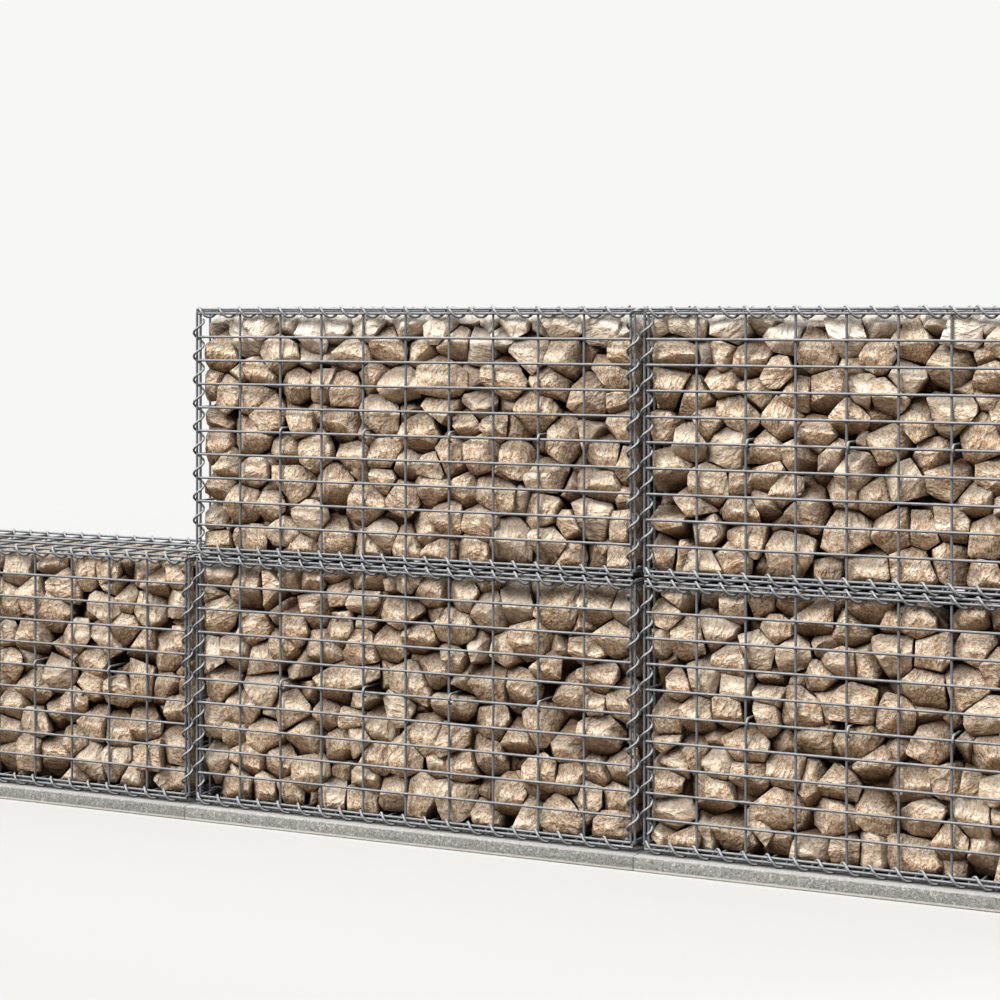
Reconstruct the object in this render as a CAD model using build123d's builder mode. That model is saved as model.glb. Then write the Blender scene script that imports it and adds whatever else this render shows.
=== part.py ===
from build123d import *
import os
from math import cos, pi, sin, tan

# Gabion wall: baskets of welded wire, filled with stone, on a concrete kerb.
# Lengths are millimetres. X runs along the wall, the front faces -Y, Z is up.
# The origin is on the ground, at the middle of the kerb's underside.

# The bays of the wall, from left to right, and how many baskets each one stacks
bay_tiers = {"left": 1, "middle": 2, "right": 2}
bay_joint = 3.2
tier_names = ("lower", "upper")

# One basket, measured between the centres of its wires
basket_length = 1000.0
basket_height = 500.0
basket_depth = 300.0
mesh_wire = 4.5

# Wire spacings of the welded panels
face_upright_pitch = 100.0
face_rail_pitch = 50.0
end_rail_pitch = 100.0
end_upright_pitch = 50.0
lid_cross_pitch = 50.0
lid_long_pitch = 100.0

# Spiral binders lace the panels together along every edge, one turn to a wire gap
binder_wire = 4.0
binder_band = 5.6
binder_radius = 10.9
binder_facets = 6
hang_clearance = 0.3

# Facets by which a binder stops short at each end, to clear the ones across its ends
corner_binder_skip = 2
end_binder_skip = 4

# How far along its edge each binder is from the first wire, in turns
lid_binder_start = 0.0
base_binder_start = -0.08
left_corner_start = 0.08
right_corner_start = -0.02
lid_end_start = -0.23
base_end_start = 0.14

# Cross ties that hook the front panel to the back one
tie_wire = 4.0
tie_hook_radius = 10.5
tie_hook_facets = 4
tie_upright_numbers = (2, 4, 6, 8)
tie_clearance = 0.3
tie_channel_clearance = 2.0

# Stone fill
fill_clearance = 0.3
fill_chamfer = 20.0

# Kerb of one concrete block to a bay
kerb_height = 30.0
kerb_reach = 25.25
kerb_chamfer = 3.0

# Gaps between the wires of each row, as many as fit the length nearest to the pitch
face_upright_gaps = round(basket_length / face_upright_pitch)
face_rail_gaps = round(basket_height / face_rail_pitch)
end_rail_gaps = round(basket_height / end_rail_pitch)
end_upright_gaps = round(basket_depth / end_upright_pitch)
lid_cross_gaps = round(basket_length / lid_cross_pitch)
lid_long_gaps = round(basket_depth / lid_long_pitch)
face_upright_gap = basket_length / face_upright_gaps
face_rail_gap = basket_height / face_rail_gaps
end_upright_gap = basket_depth / end_upright_gaps
lid_cross_gap = basket_length / lid_cross_gaps

# Planes that the wires of a basket lie in, from its middle and its lowest rail
face_upright_y = basket_depth / 2
face_rail_y = face_upright_y + mesh_wire
end_rail_x = basket_length / 2 + mesh_wire
lid_cross_z = basket_height + mesh_wire
lid_long_z = lid_cross_z + mesh_wire
base_cross_z = -mesh_wire
mid_height = basket_height / 2

# A binder hangs with its inner facets just over the wire that carries it
binder_inner = binder_radius - binder_wire / 2
binder_outer = binder_radius + binder_wire / 2
facet_angle = 2 * pi / binder_facets
facet_drop = mesh_wire / 2 * tan(facet_angle / 2)
binder_hang = binder_inner - facet_drop - hang_clearance - mesh_wire / 2
lid_binder_z = lid_long_z - binder_hang
base_binder_z = -binder_hang
lid_end_binder_z = lid_cross_z - binder_hang

# A lower basket's binders stand on the kerb, an upper one's on the lid below
basket_foot = binder_outer - base_binder_z
lid_top = lid_long_z + mesh_wire / 2
first_tier_z = kerb_height + basket_foot
tier_pitch = lid_top + basket_foot
bay_pitch = 2 * (end_rail_x + binder_outer) + bay_joint


def welded_mesh(plane, posts_span, post_gaps, post_length, rails_span, rail_gaps, rail_length):
    # Posts lie along the plane's Y axis. Rails are welded across their outer side.
    with BuildPart() as mesh:
        with BuildSketch(plane.offset(-mesh_wire / 2)):
            with GridLocations(posts_span / post_gaps, 0, post_gaps + 1, 1):
                Rectangle(mesh_wire, post_length)
        extrude(amount=mesh_wire)
        with BuildSketch(plane.offset(mesh_wire / 2)):
            with GridLocations(0, rails_span / rail_gaps, 1, rail_gaps + 1):
                Rectangle(rail_length, mesh_wire)
        extrude(amount=mesh_wire)
    return mesh.part


front_mesh = welded_mesh(
    Plane((0, -face_upright_y, mid_height), x_dir=(1, 0, 0), z_dir=(0, -1, 0)),
    posts_span=basket_length,
    post_gaps=face_upright_gaps,
    post_length=basket_height + mesh_wire,
    rails_span=basket_height,
    rail_gaps=face_rail_gaps,
    rail_length=basket_length + mesh_wire,
)
right_end_mesh = welded_mesh(
    Plane((end_rail_x, 0, mid_height), x_dir=(0, 0, 1), z_dir=(1, 0, 0)),
    posts_span=basket_height,
    post_gaps=end_rail_gaps,
    post_length=basket_depth + mesh_wire,
    rails_span=basket_depth,
    rail_gaps=end_upright_gaps,
    rail_length=basket_height + mesh_wire,
)
lid_mesh = welded_mesh(
    Plane((0, 0, lid_cross_z), x_dir=(1, 0, 0), z_dir=(0, 0, 1)),
    posts_span=2 * end_rail_x,
    post_gaps=lid_cross_gaps,
    post_length=2 * face_rail_y + mesh_wire,
    rails_span=2 * face_rail_y,
    rail_gaps=lid_long_gaps,
    rail_length=2 * end_rail_x + mesh_wire,
)
back_mesh = front_mesh.rotate(Axis.Z, 180)
end_meshes = Compound([right_end_mesh.solid(), right_end_mesh.rotate(Axis.Z, 180).solid()])
base_mesh = lid_mesh.rotate(Axis((0, 0, mid_height), (1, 0, 0)), 180)


def spiral_binder(turns, pitch, skip):
    # A right-handed spiral along Z, over +X at the start of every turn.
    # Its wire has three sides: a band towards the axis and a ridge outside.
    corners = ((binder_inner, -binder_band / 2), (binder_inner, binder_band / 2), (binder_outer, 0))
    sections = []
    for step in range(skip, turns * binder_facets - skip + 1):
        angle = step * facet_angle
        height = step * pitch / binder_facets
        sections.append([Vector(r * cos(angle), r * sin(angle), height + rise) for r, rise in corners])
    outlines = [sections[0], sections[-1]]
    for (low, high, ridge), (next_low, next_high, next_ridge) in zip(sections, sections[1:]):
        outlines += [
            (low, high, next_high, next_low),
            (high, ridge, next_high),
            (ridge, next_ridge, next_high),
            (ridge, low, next_ridge),
            (low, next_low, next_ridge),
        ]
    return Solid(Shell([Face(Wire.make_polygon(outline)) for outline in outlines]))


face_binder = spiral_binder(lid_cross_gaps, lid_cross_gap, skip=0)
corner_binder = spiral_binder(face_rail_gaps, face_rail_gap, skip=corner_binder_skip)
end_binder = spiral_binder(end_upright_gaps, end_upright_gap, skip=end_binder_skip)

# Each edge's binder: where its first turn starts, the side it starts on, its direction
up = (0, 0, 1)
down = (0, 0, -1)
right = (1, 0, 0)
left = (-1, 0, 0)
back = (0, 1, 0)


def face_binder_plane(start, height):
    first_x = start * lid_cross_gap - basket_length / 2
    return Plane((first_x, -face_rail_y, height), x_dir=up, z_dir=right)


def corner_binder_plane(start, side):
    return Plane((side[0] * end_rail_x, -face_upright_y, start * face_rail_gap), x_dir=side, z_dir=up)


def end_binder_plane(start, height, start_side):
    first_y = start * end_upright_gap - basket_depth / 2
    return Plane((end_rail_x, first_y, height), x_dir=start_side, z_dir=back)


face_binder_planes = (
    face_binder_plane(lid_binder_start, lid_binder_z),
    face_binder_plane(base_binder_start, base_binder_z),
)
corner_binder_planes = (
    corner_binder_plane(left_corner_start, left),
    corner_binder_plane(right_corner_start, right),
)
end_binder_planes = (
    end_binder_plane(lid_end_start, lid_end_binder_z, up),
    end_binder_plane(base_end_start, base_binder_z, down),
)
front_and_right_binders = [
    spiral.moved(plane.location)
    for spiral, planes in (
        (face_binder, face_binder_planes),
        (corner_binder, corner_binder_planes),
        (end_binder, end_binder_planes),
    )
    for plane in planes
]
back_and_left_binders = [binder.rotate(Axis.Z, 180) for binder in front_and_right_binders]
binders = Compound(front_and_right_binders + back_and_left_binders)

# Cross ties, each beside an upright and over the middle rail
tie_rail_z = face_rail_gap * round(mid_height / face_rail_gap)
tie_side = mesh_wire / 2 + tie_clearance + tie_wire / 2
tie_spots = [n * face_upright_gap - basket_length / 2 + tie_side for n in tie_upright_numbers]
hook_inner = tie_hook_radius - tie_wire / 2
hook_drop = mesh_wire / 2 * tan(pi / tie_hook_facets / 2)
hook_centre_y = face_rail_y + mesh_wire / 2 + tie_clearance + hook_drop - hook_inner


def tie_edge(radius):
    # Half the outline of a tie: front hook from its tip, rod, then back hook
    steps = range(tie_hook_facets + 1)
    angles = [pi * (1.5 - step / tie_hook_facets) for step in steps]
    front = [(radius * cos(a) - hook_centre_y, radius * sin(a) + tie_rail_z) for a in angles]
    return front + [(-y, z) for y, z in reversed(front)]


with BuildPart() as ties:
    for spot in tie_spots:
        with BuildSketch(Plane.YZ.offset(spot - tie_wire / 2)):
            with BuildLine():
                outer_edge = tie_edge(tie_hook_radius + tie_wire / 2)
                inner_edge = tie_edge(hook_inner)
                Polyline(*outer_edge, *reversed(inner_edge), close=True)
            make_face()
        extrude(amount=tie_wire)

# Stone fill, with a channel left round each tie
fill_length = 2 * (end_rail_x - mesh_wire / 2 - fill_clearance)
fill_depth = 2 * (face_upright_y - mesh_wire / 2 - fill_clearance)
fill_bottom = base_cross_z + mesh_wire / 2 + fill_clearance
fill_top = lid_cross_z - mesh_wire / 2 - fill_clearance
tie_channel = tie_wire + 2 * tie_channel_clearance

with BuildPart() as stone_fill:
    with BuildSketch(Plane.XY.offset(fill_bottom)):
        Rectangle(fill_length, fill_depth)
    extrude(amount=fill_top - fill_bottom)
    chamfer(stone_fill.edges(), length=fill_chamfer)
    with BuildSketch(Plane.XZ):
        with Locations(*[(spot, tie_rail_z + tie_hook_radius) for spot in tie_spots]):
            Rectangle(tie_channel, tie_channel)
    extrude(amount=fill_depth / 2, both=True, mode=Mode.SUBTRACT)

with BuildPart() as kerb:
    with BuildSketch():
        Rectangle(bay_pitch, 2 * (face_rail_y + mesh_wire / 2 + kerb_reach))
    extrude(amount=kerb_height)
    chamfer(kerb.edges().filter_by(Axis.Z) + kerb.faces().sort_by(Axis.Z)[-1].edges(), length=kerb_chamfer)

# Every basket is the same, so its pieces are placed once for each tier of each bay
basket_pieces = {
    "front_mesh": front_mesh,
    "back_mesh": back_mesh,
    "end_meshes": end_meshes,
    "base_mesh": base_mesh,
    "lid_mesh": lid_mesh,
    "binders": binders,
    "ties": ties.part,
    "stone_fill": stone_fill.part,
}


def write_piece(piece, place, name):
    placed = piece.moved(Location(place))
    placed.label = name
    export_step(placed, f"parts/{name}.step", write_pcurves=False)


os.makedirs("parts", exist_ok=True)
first_bay_x = -bay_pitch * (len(bay_tiers) - 1) / 2
for bay_number, (bay, tiers) in enumerate(bay_tiers.items()):
    bay_x = first_bay_x + bay_number * bay_pitch
    write_piece(kerb.part, (bay_x, 0, 0), f"kerb_{bay}")
    for tier_number, tier in enumerate(tier_names[:tiers]):
        tier_z = first_tier_z + tier_number * tier_pitch
        for piece_name, piece in basket_pieces.items():
            write_piece(piece, (bay_x, 0, tier_z), f"{tier}_{bay}_{piece_name}")
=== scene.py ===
"""Dresses the gabion wall: round wires, spiral binders, cross ties, broken stone and a concrete kerb."""

from __future__ import annotations

import logging
import random
from dataclasses import dataclass
from enum import Enum
from math import atan2, pi, radians

import bmesh
import bpy
from mathutils import Matrix, Vector, noise


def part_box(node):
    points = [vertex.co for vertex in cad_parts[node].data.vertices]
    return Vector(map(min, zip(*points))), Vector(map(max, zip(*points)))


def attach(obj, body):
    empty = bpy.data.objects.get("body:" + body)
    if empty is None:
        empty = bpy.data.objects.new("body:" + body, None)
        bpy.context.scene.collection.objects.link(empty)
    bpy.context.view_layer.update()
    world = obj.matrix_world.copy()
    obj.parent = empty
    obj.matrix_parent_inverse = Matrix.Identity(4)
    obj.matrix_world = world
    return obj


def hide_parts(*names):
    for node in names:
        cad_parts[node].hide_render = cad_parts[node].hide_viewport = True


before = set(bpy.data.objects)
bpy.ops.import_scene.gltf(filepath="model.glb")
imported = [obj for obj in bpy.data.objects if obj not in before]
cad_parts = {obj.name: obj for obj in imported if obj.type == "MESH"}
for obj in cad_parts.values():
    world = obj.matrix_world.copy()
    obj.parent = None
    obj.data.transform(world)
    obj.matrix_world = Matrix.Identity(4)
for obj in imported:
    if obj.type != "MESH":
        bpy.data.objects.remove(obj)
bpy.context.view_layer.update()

log = logging.getLogger("gabion_wall")

# The one body that every piece rides on
BODY = "root"

MILLIMETRE = 0.001

# The wire of the spirals and ties, and the size of the spirals
BINDER_WIRE = 5.2 * MILLIMETRE
BINDER_RADIUS = 10.9 * MILLIMETRE
BINDER_PITCH = 50 * MILLIMETRE

# The attribute that carries each stone's random values, and how deep its points are, to the shader
STONE_CAST = "stone_cast"

# The highest tone of a stone that is not painted as sunlit, and the lowest of one that is
HIGHEST_PLAIN_TONE = 0.92
LOWEST_PAINTED_SUN_TONE = 0.93

# How far a stone has to stand out past a cut for it to be made, and what counts as on the plane
SPARED = 1e-5
ON_PLANE = 1e-6

# A number's type of socket in a node group
NUMBER = "NodeSocketFloat"

Colour = tuple[float, float, float, float]
Range = tuple[float, float]


class Axis(Enum):
    """A direction of the wall: along it, through it, or up."""

    ALONG = 0
    THROUGH = 1
    UP = 2

    @property
    def vector(self) -> Vector:
        """The unit vector of the direction."""
        return Vector([1.0 if index == self.value else 0.0 for index in range(3)])


class Side(Enum):
    """Which end of an axis a panel closes."""

    LOW = -1
    HIGH = 1


class BinderKind(Enum):
    """An edge's binder: its turns, and the part of a turn that it stops short at each end."""

    FACE = (20, 0.0)
    CORNER = (10, 1 / 3)
    END = (6, 2 / 3)


def finished_piece(
    name: str, shape: bmesh.types.BMesh, material: bpy.types.Material, nodes: list[str]
) -> bpy.types.Object:
    """Turns a bmesh into a piece that stands for CAD nodes and rides on the wall.

    Args:
        name: The piece's name.
        shape: The piece's shape, in place. It is freed.
        material: The finish.
        nodes: The CAD nodes that the piece replaces.

    Returns:
        The new object.
    """
    mesh = bpy.data.meshes.new(name)
    shape.to_mesh(mesh)
    shape.free()
    mesh.materials.append(material)
    piece = bpy.data.objects.new(name, mesh)
    bpy.context.scene.collection.objects.link(piece)
    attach(piece, BODY)
    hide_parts(*nodes)
    triangles = sum(len(polygon.vertices) - 2 for polygon in mesh.polygons)
    log.info("%s: %d triangles, in place of %s", name, triangles, ", ".join(nodes))
    return piece


def smooth_sides(shape: bmesh.types.BMesh, sharpest: float) -> None:
    """Shades a shape smoothly, except across its sharp edges.

    Args:
        shape: The shape to shade.
        sharpest: The largest angle between two faces that stays smooth, in radians.
    """
    for face in shape.faces:
        face.smooth = True
    for edge in shape.edges:
        edge.smooth = len(edge.link_faces) == 2 and edge.calc_face_angle(0.0) < sharpest


def edges_of(verts: list[bmesh.types.BMVert]) -> list[bmesh.types.BMEdge]:
    """Lists the edges of some points, each once and in the same order every run."""
    return list(dict.fromkeys(edge for vert in verts for edge in vert.link_edges))


@dataclass
class NodeSketch:
    """Adds shader nodes to a tree and joins them.

    Attributes:
        tree: The node tree to draw in.
    """

    tree: bpy.types.NodeTree

    def add(
        self, kind: str, inputs: dict[object, object] | None = None, **settings: object
    ) -> bpy.types.Node:
        """Adds a node.

        Args:
            kind: Blender's name for the type of node.
            inputs: A value, or a socket to join, for each input by name or number.
            **settings: The node's own properties.

        Returns:
            The new node.
        """
        node = self.tree.nodes.new(kind)
        for name, value in settings.items():
            setattr(node, name, value)
        for name, value in (inputs or {}).items():
            if isinstance(value, bpy.types.NodeSocket):
                self.tree.links.new(value, node.inputs[name])
            else:
                node.inputs[name].default_value = value
        return node

    def group(self, tree: bpy.types.NodeTree, inputs: dict[object, object]) -> bpy.types.Node:
        """Places a node group.

        Args:
            tree: The group's tree.
            inputs: A value or a socket for each of its inputs.

        Returns:
            The group node.
        """
        return self.add("ShaderNodeGroup", inputs, node_tree=tree)

    def rise(self) -> bpy.types.NodeSocket:
        """Tells how far the surface faces up: 1 on top, 0 on the sides and -1 underneath."""
        normal = self.add("ShaderNodeNewGeometry").outputs["Normal"]
        return self.add("ShaderNodeSeparateXYZ", {"Vector": normal}).outputs["Z"]

    def math(self, operation: str, first: object, second: object) -> bpy.types.NodeSocket:
        """Puts two values through a Math node and returns its result."""
        return self.add("ShaderNodeMath", {0: first, 1: second}, operation=operation).outputs[0]

    def blend(
        self, share: object, first: object, second: object, kind: str = "MIX"
    ) -> bpy.types.NodeSocket:
        """Mixes two colours.

        Args:
            share: How much of the second colour shows, from 0 to 1.
            first: The colour underneath.
            second: The colour on top.
            kind: How they are mixed.

        Returns:
            The mixed colour.
        """
        inputs = {0: share, 6: first, 7: second}
        return self.add("ShaderNodeMix", inputs, data_type="RGBA", blend_type=kind).outputs[2]

    def layer(
        self, colour: object, mask: bpy.types.NodeSocket, tint: Colour, share: float
    ) -> bpy.types.NodeSocket:
        """Lays a tint over a colour where a mask shows.

        Args:
            colour: The colour underneath.
            mask: Where the tint goes.
            tint: The colour on top.
            share: How much of it shows where the mask is full.

        Returns:
            The mixed colour.
        """
        return self.blend(self.math("MULTIPLY", mask, share), colour, tint)

    def spread(
        self, value: object, low: object, high: object, start: float = 0.0, end: float = 1.0
    ) -> bpy.types.NodeSocket:
        """Maps a value from one range to another, held at its ends.

        Args:
            value: The value to map.
            low: Where the first range starts.
            high: Where the first range ends.
            start: The result at the first range's start.
            end: The result at the first range's end.

        Returns:
            The mapped value.
        """
        inputs = {"Value": value, "From Min": low, "From Max": high, "To Min": start, "To Max": end}
        return self.add("ShaderNodeMapRange", inputs).outputs["Result"]


def new_material(name: str) -> tuple[bpy.types.Material, NodeSketch]:
    """Starts an empty node material.

    Args:
        name: The material's name.

    Returns:
        The material and a sketch of its node tree.
    """
    material = bpy.data.materials.new(name)
    material.use_nodes = True
    material.node_tree.nodes.clear()
    return material, NodeSketch(material.node_tree)


def new_group(
    name: str, inputs: dict[str, tuple[str, object]], outputs: list[str]
) -> tuple[bpy.types.NodeTree, NodeSketch, bpy.types.Node, bpy.types.Node]:
    """Starts a shader node group.

    Args:
        name: The group's name.
        inputs: Each input's socket type and first value. A vector's value is None.
        outputs: The names of its outputs, all single values.

    Returns:
        The group's tree, its sketch, its input node and its output node.
    """
    tree = bpy.data.node_groups.new(name, "ShaderNodeTree")
    for label, (kind, value) in inputs.items():
        socket = tree.interface.new_socket(label, in_out="INPUT", socket_type=kind)
        if value is not None:
            socket.default_value = value
    for label in outputs:
        tree.interface.new_socket(label, in_out="OUTPUT", socket_type=NUMBER)
    sketch = NodeSketch(tree)
    return tree, sketch, sketch.add("NodeGroupInput"), sketch.add("NodeGroupOutput")


def mottle_group() -> bpy.types.NodeTree:
    """A group that turns noise into a mask of soft patches.

    Returns:
        The group. Its inputs are Vector, Scale, Rough, Low and High, and its output is Mask.
    """
    inputs = {
        "Vector": ("NodeSocketVector", None),
        "Scale": (NUMBER, 50.0),
        "Rough": (NUMBER, 0.6),
        "Low": (NUMBER, 0.4),
        "High": (NUMBER, 0.6),
    }
    tree, sketch, given, result = new_group("mottle", inputs, ["Mask"])
    cloud_inputs = {"Vector": given.outputs["Vector"], "Scale": given.outputs["Scale"]}
    cloud_inputs |= {"Detail": 5.0, "Roughness": given.outputs["Rough"]}
    cloud = sketch.add("ShaderNodeTexNoise", cloud_inputs)
    mask = sketch.spread(cloud.outputs["Fac"], given.outputs["Low"], given.outputs["High"])
    tree.links.new(mask, result.inputs["Mask"])
    return tree


def pitting_group() -> bpy.types.NodeTree:
    """A group that scatters round pits over a surface.

    Returns:
        The group. Its inputs are Vector, Scale and Width. Its outputs are Pits and Height.
    """
    inputs = {"Vector": ("NodeSocketVector", None), "Scale": (NUMBER, 120.0), "Width": (NUMBER, 0.3)}
    tree, sketch, given, result = new_group("pitting", inputs, ["Pits", "Height"])
    cell_inputs = {"Vector": given.outputs["Vector"], "Scale": given.outputs["Scale"]}
    cells = sketch.add("ShaderNodeTexVoronoi", cell_inputs)
    pits = sketch.spread(cells.outputs["Distance"], given.outputs["Width"], 0.0)
    tree.links.new(pits, result.inputs["Pits"])
    tree.links.new(sketch.math("MULTIPLY", pits, -1.0), result.inputs["Height"])
    return tree


@dataclass(frozen=True)
class Patches:
    """How a mask of soft patches looks.

    Attributes:
        scale: How fine the patches are.
        low: The noise at which a patch starts.
        high: The noise at which it is full.
        rough: How ragged its edges are.
    """

    scale: float
    low: float
    high: float
    rough: float = 0.6

    def mask(
        self, sketch: NodeSketch, mottle: bpy.types.NodeTree, place: bpy.types.NodeSocket
    ) -> bpy.types.NodeSocket:
        """Places the shared group with these values.

        Args:
            sketch: The material's sketch.
            mottle: The shared group of soft patches.
            place: The coordinates that the patches lie in.

        Returns:
            The mask.
        """
        inputs = {"Vector": place, "Scale": self.scale, "Rough": self.rough}
        inputs |= {"Low": self.low, "High": self.high}
        return sketch.group(mottle, inputs).outputs["Mask"]


@dataclass(frozen=True)
class GalvanisedSteel:
    """Hot-dip galvanised wire: blue-grey zinc with dull patches, and painted shade on its sides and
    undersides.

    Attributes:
        name: The material's name.
        bright: The colour of fresh zinc.
        dull: The colour of weathered zinc.
        shine: The lowest and highest roughness.
        zinc_underside_shade: The colour of the painted shade on the sides and undersides.
        spangle: The small dull patches.
        spangle_share: How much of the weathering they make up.
        bloom: The large dull patches.
        bloom_share: How much of the weathering they make up.
    """

    name: str
    bright: Colour
    dull: Colour
    shine: Range
    zinc_underside_shade: Colour = (0.03, 0.034, 0.042, 1.0)
    spangle: Patches = Patches(90.0, 0.38, 0.62)
    spangle_share: float = 0.65
    bloom: Patches = Patches(14.0, 0.42, 0.7)
    bloom_share: float = 0.35

    def build(self, mottle: bpy.types.NodeTree) -> bpy.types.Material:
        """Makes the material.

        Args:
            mottle: The shared group of soft patches.

        Returns:
            The material.
        """
        material, sketch = new_material(self.name)
        place = sketch.add("ShaderNodeTexCoord").outputs["Object"]
        spangle = sketch.math("MULTIPLY", self.spangle.mask(sketch, mottle, place), self.spangle_share)
        bloom = sketch.math("MULTIPLY", self.bloom.mask(sketch, mottle, place), self.bloom_share)
        weather = sketch.math("ADD", spangle, bloom)
        grit = sketch.add("ShaderNodeTexNoise", {"Vector": place, "Scale": 900.0, "Detail": 2.0})
        bump_inputs = {"Height": grit.outputs["Fac"], "Strength": 0.35, "Distance": 0.15 * MILLIMETRE}
        bump = sketch.add("ShaderNodeBump", bump_inputs)
        # Painted shade: the less the surface faces up, the darker the zinc is painted
        underside = sketch.spread(sketch.rise(), low=0.7, high=-0.3, end=0.82)
        zinc = sketch.blend(weather, self.bright, self.dull)
        shader_inputs = {
            "Base Color": sketch.blend(underside, zinc, self.zinc_underside_shade),
            "Specular IOR Level": 0.3,
            "Roughness": sketch.spread(weather, 0.0, 1.0, *self.shine),
            "Normal": bump.outputs["Normal"],
        }
        shader = sketch.add("ShaderNodeBsdfPrincipled", shader_inputs)
        sketch.add("ShaderNodeOutputMaterial", {"Surface": shader.outputs["BSDF"]})
        return material


@dataclass(frozen=True)
class BrokenStone:
    """Quarried beige limestone: stained, streaked and speckled, and painted darker and browner underneath
    as shade.

    Every stone turns and shifts the pattern by its own STONE_CAST attribute, whose red is its
    tone and whose alpha is how deep in the fill the point lies.

    Attributes:
        name: The material's name.
        cream: The colour of fresh, light faces.
        beige: The main colour.
        brown: The colour of stained patches.
        painted_sun: The colour of the stones near the top that are painted pale as if in sunlight.
        upper_shade_tint: The painted shade on the upper sides, which darkens them and takes their warmth
            away.
        underside_shade_tint: The painted shade on the undersides, which darkens them and makes them
            browner.
        pits_and_deep_shade: The colour of the pits, and of the painted shade deep in the fill.
        stains: The wide brown patches.
        streaks: The cream streaks along the bedding.
        flecks: The fine cream flecks.
        specks: The fine brown specks along the bedding.
        flatness: How much the bedding is squeezed in height.
        shift: How far apart two stones' patterns lie, in metres.
    """

    name: str
    cream: Colour
    beige: Colour
    brown: Colour
    painted_sun: Colour
    upper_shade_tint: Colour
    underside_shade_tint: Colour
    pits_and_deep_shade: Colour
    stains: Patches = Patches(24.0, 0.47, 0.6, 0.7)
    streaks: Patches = Patches(46.0, 0.46, 0.54, 0.8)
    flecks: Patches = Patches(170.0, 0.5, 0.54, 0.8)
    specks: Patches = Patches(150.0, 0.5, 0.55, 0.8)
    flatness: float = 1.9
    shift: float = 7.0

    def build(self, mottle: bpy.types.NodeTree, pitting: bpy.types.NodeTree) -> bpy.types.Material:
        """Makes the material.

        Args:
            mottle: The shared group of soft patches.
            pitting: The shared group of pits.

        Returns:
            The material.
        """
        material, sketch = new_material(self.name)
        cast = sketch.add("ShaderNodeAttribute", attribute_name=STONE_CAST)
        place = self.own_place(sketch, cast)
        bedding_inputs = {"Vector": place, "Scale": (1.0, 1.0, self.flatness)}
        bedding = sketch.add("ShaderNodeMapping", bedding_inputs).outputs["Vector"]
        streaks = self.streaks.mask(sketch, mottle, bedding)
        pits = sketch.group(pitting, {"Vector": place, "Scale": 150.0, "Width": 0.3})

        colour = sketch.layer(self.beige, self.stains.mask(sketch, mottle, place), self.brown, share=0.45)
        colour = sketch.layer(colour, streaks, self.cream, share=0.85)
        colour = sketch.layer(colour, self.flecks.mask(sketch, mottle, place), self.cream, share=0.9)
        colour = sketch.layer(colour, self.specks.mask(sketch, mottle, bedding), self.brown, share=0.6)
        colour = sketch.layer(colour, pits.outputs["Pits"], self.pits_and_deep_shade, share=0.4)
        colour = self.weathered(sketch, colour, cast)

        shader_inputs = {
            "Base Color": colour,
            "Roughness": sketch.spread(streaks, low=0.0, high=1.0, start=0.78, end=0.92),
            "Specular IOR Level": 0.12,
            "Normal": self.relief(sketch, place, bedding, pits),
        }
        shader = sketch.add("ShaderNodeBsdfPrincipled", shader_inputs)
        sketch.add("ShaderNodeOutputMaterial", {"Surface": shader.outputs["BSDF"]})
        return material

    def weathered(
        self, sketch: NodeSketch, colour: bpy.types.NodeSocket, cast: bpy.types.Node
    ) -> bpy.types.NodeSocket:
        """Tints fresh stone by its tone, and paints light and shade on it: sun on the top layer, and
        shade on its upper sides, its undersides and deep in the fill.

        Args:
            sketch: The material's sketch.
            colour: The colour of fresh stone.
            cast: The attribute node.

        Returns:
            The weathered colour.
        """
        tone = sketch.add("ShaderNodeSeparateColor", {"Color": cast.outputs["Color"]}).outputs["Red"]
        rise = sketch.rise()
        pale = sketch.spread(tone, low=0.55, high=HIGHEST_PLAIN_TONE, end=0.5)
        # Painted sun: the top layer's stones are painted near white, as if in direct sunlight
        painted_sun = sketch.spread(tone, low=HIGHEST_PLAIN_TONE, high=0.94, end=0.75)
        # Painted shade: the more a side faces up, the darker and cooler it is painted
        upper = sketch.spread(rise, low=0.3, high=0.95)
        # Painted shade: the more a side faces down, the darker and browner it is painted
        under = sketch.spread(rise, low=0.15, high=-0.7, end=0.8)
        # Painted shade: the deeper a point lies in the fill, the darker brown it is painted, as in the
        # shade between stones
        deep = sketch.spread(cast.outputs["Alpha"], low=0.08, high=0.7, end=0.9)
        colour = sketch.blend(pale, colour, self.cream)
        colour = sketch.blend(painted_sun, colour, self.painted_sun)
        colour = sketch.blend(upper, colour, self.upper_shade_tint, "MULTIPLY")
        colour = sketch.blend(under, colour, self.underside_shade_tint, "MULTIPLY")
        return sketch.blend(deep, colour, self.pits_and_deep_shade)

    def own_place(self, sketch: NodeSketch, cast: bpy.types.Node) -> bpy.types.NodeSocket:
        """Turns and shifts the object's coordinates by each stone's own cast.

        Args:
            sketch: The material's sketch.
            cast: The attribute node.

        Returns:
            The coordinates for the stone's patterns.
        """
        place = sketch.add("ShaderNodeTexCoord").outputs["Object"]
        angles = sketch.add("ShaderNodeVectorMath", {0: cast.outputs["Vector"]}, operation="SCALE")
        angles.inputs["Scale"].default_value = 2 * pi
        turned_inputs = {"Vector": place, "Rotation": angles.outputs["Vector"]}
        turned = sketch.add("ShaderNodeVectorRotate", turned_inputs, rotation_type="EULER_XYZ")
        shift = sketch.add("ShaderNodeVectorMath", {0: cast.outputs["Vector"]}, operation="SCALE")
        shift.inputs["Scale"].default_value = self.shift
        moved_inputs = {0: turned.outputs["Vector"], 1: shift.outputs["Vector"]}
        return sketch.add("ShaderNodeVectorMath", moved_inputs, operation="ADD").outputs["Vector"]

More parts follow.
